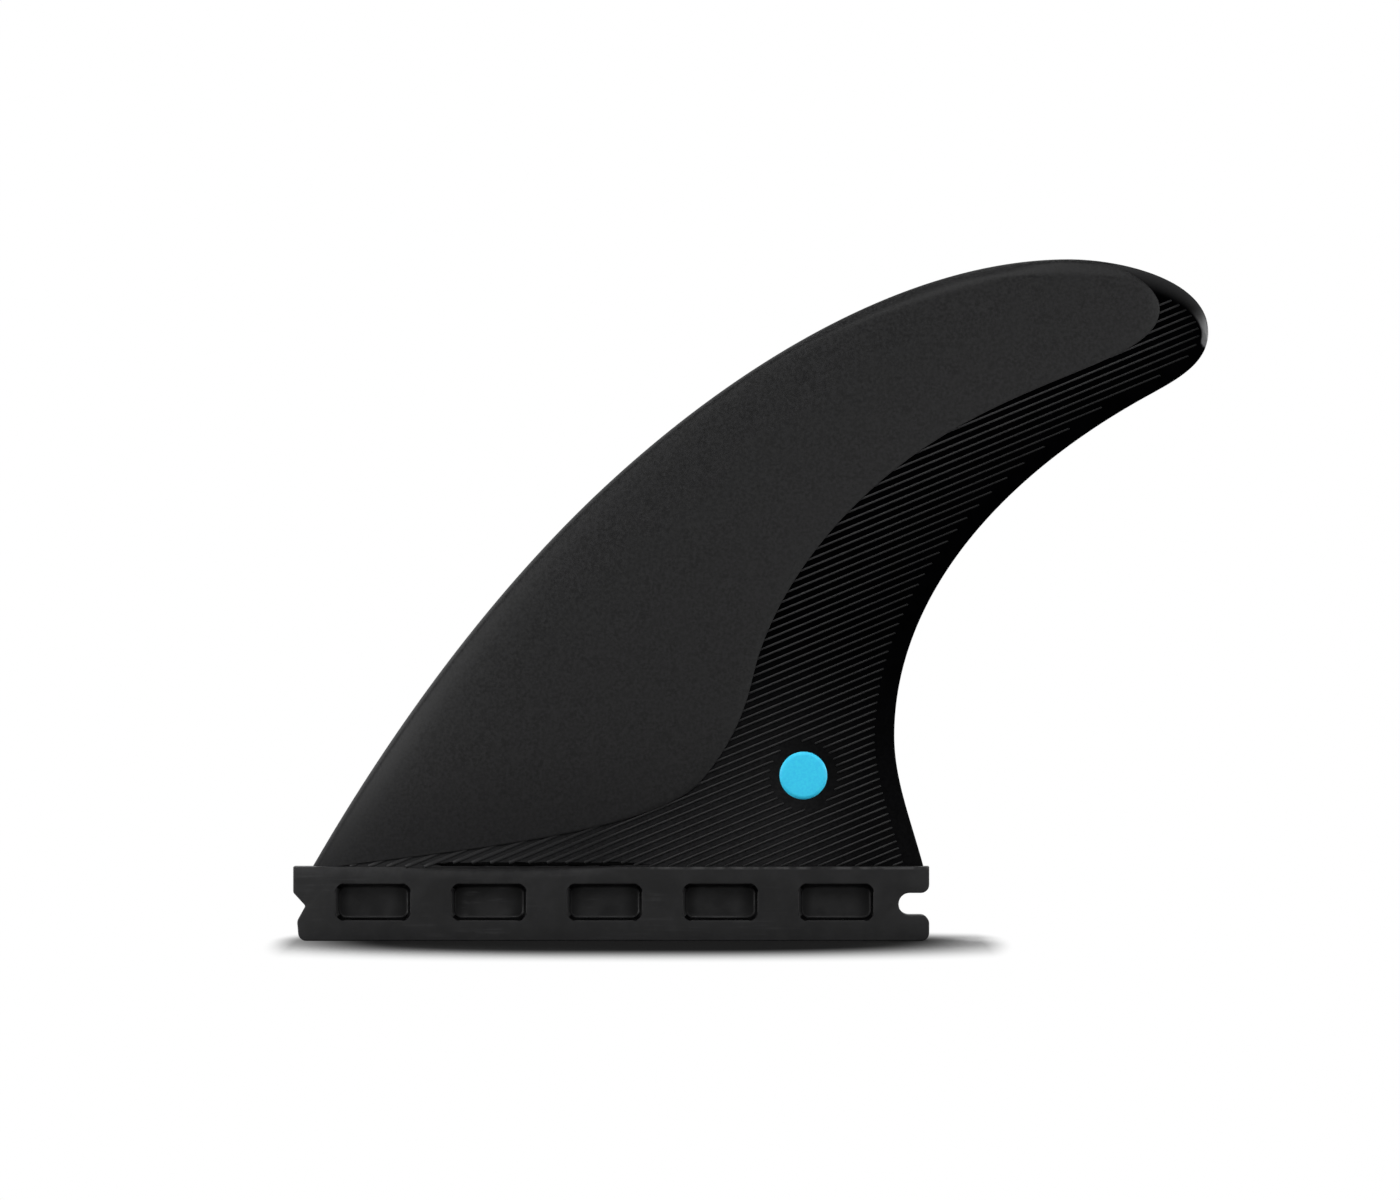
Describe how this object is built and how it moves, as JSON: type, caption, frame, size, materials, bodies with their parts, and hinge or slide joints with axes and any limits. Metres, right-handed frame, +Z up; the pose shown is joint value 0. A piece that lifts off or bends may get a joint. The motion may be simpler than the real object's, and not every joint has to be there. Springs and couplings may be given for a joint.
{
  "type": "surfboard fin",
  "caption": "Surfboard side fin with a swept, leaning blade, a raised panel and fine ribs on its foiled outer side, and a flat base tab with cored pockets.",
  "frame": {"origin": "middle of the tab's bottom face", "axes": "+X from the leading edge to the trailing edge, -Y out of the foiled, ribbed outer side, +Z up from the tab to the tip"},
  "size_m": [0.164, 0.0149, 0.1222],
  "materials": {
    "moulded_compound": "matte moulded, glossier between the ribs"
  },
  "bodies": {
    "root": {"fin": "moulded_compound"}
  },
  "joints": []
}
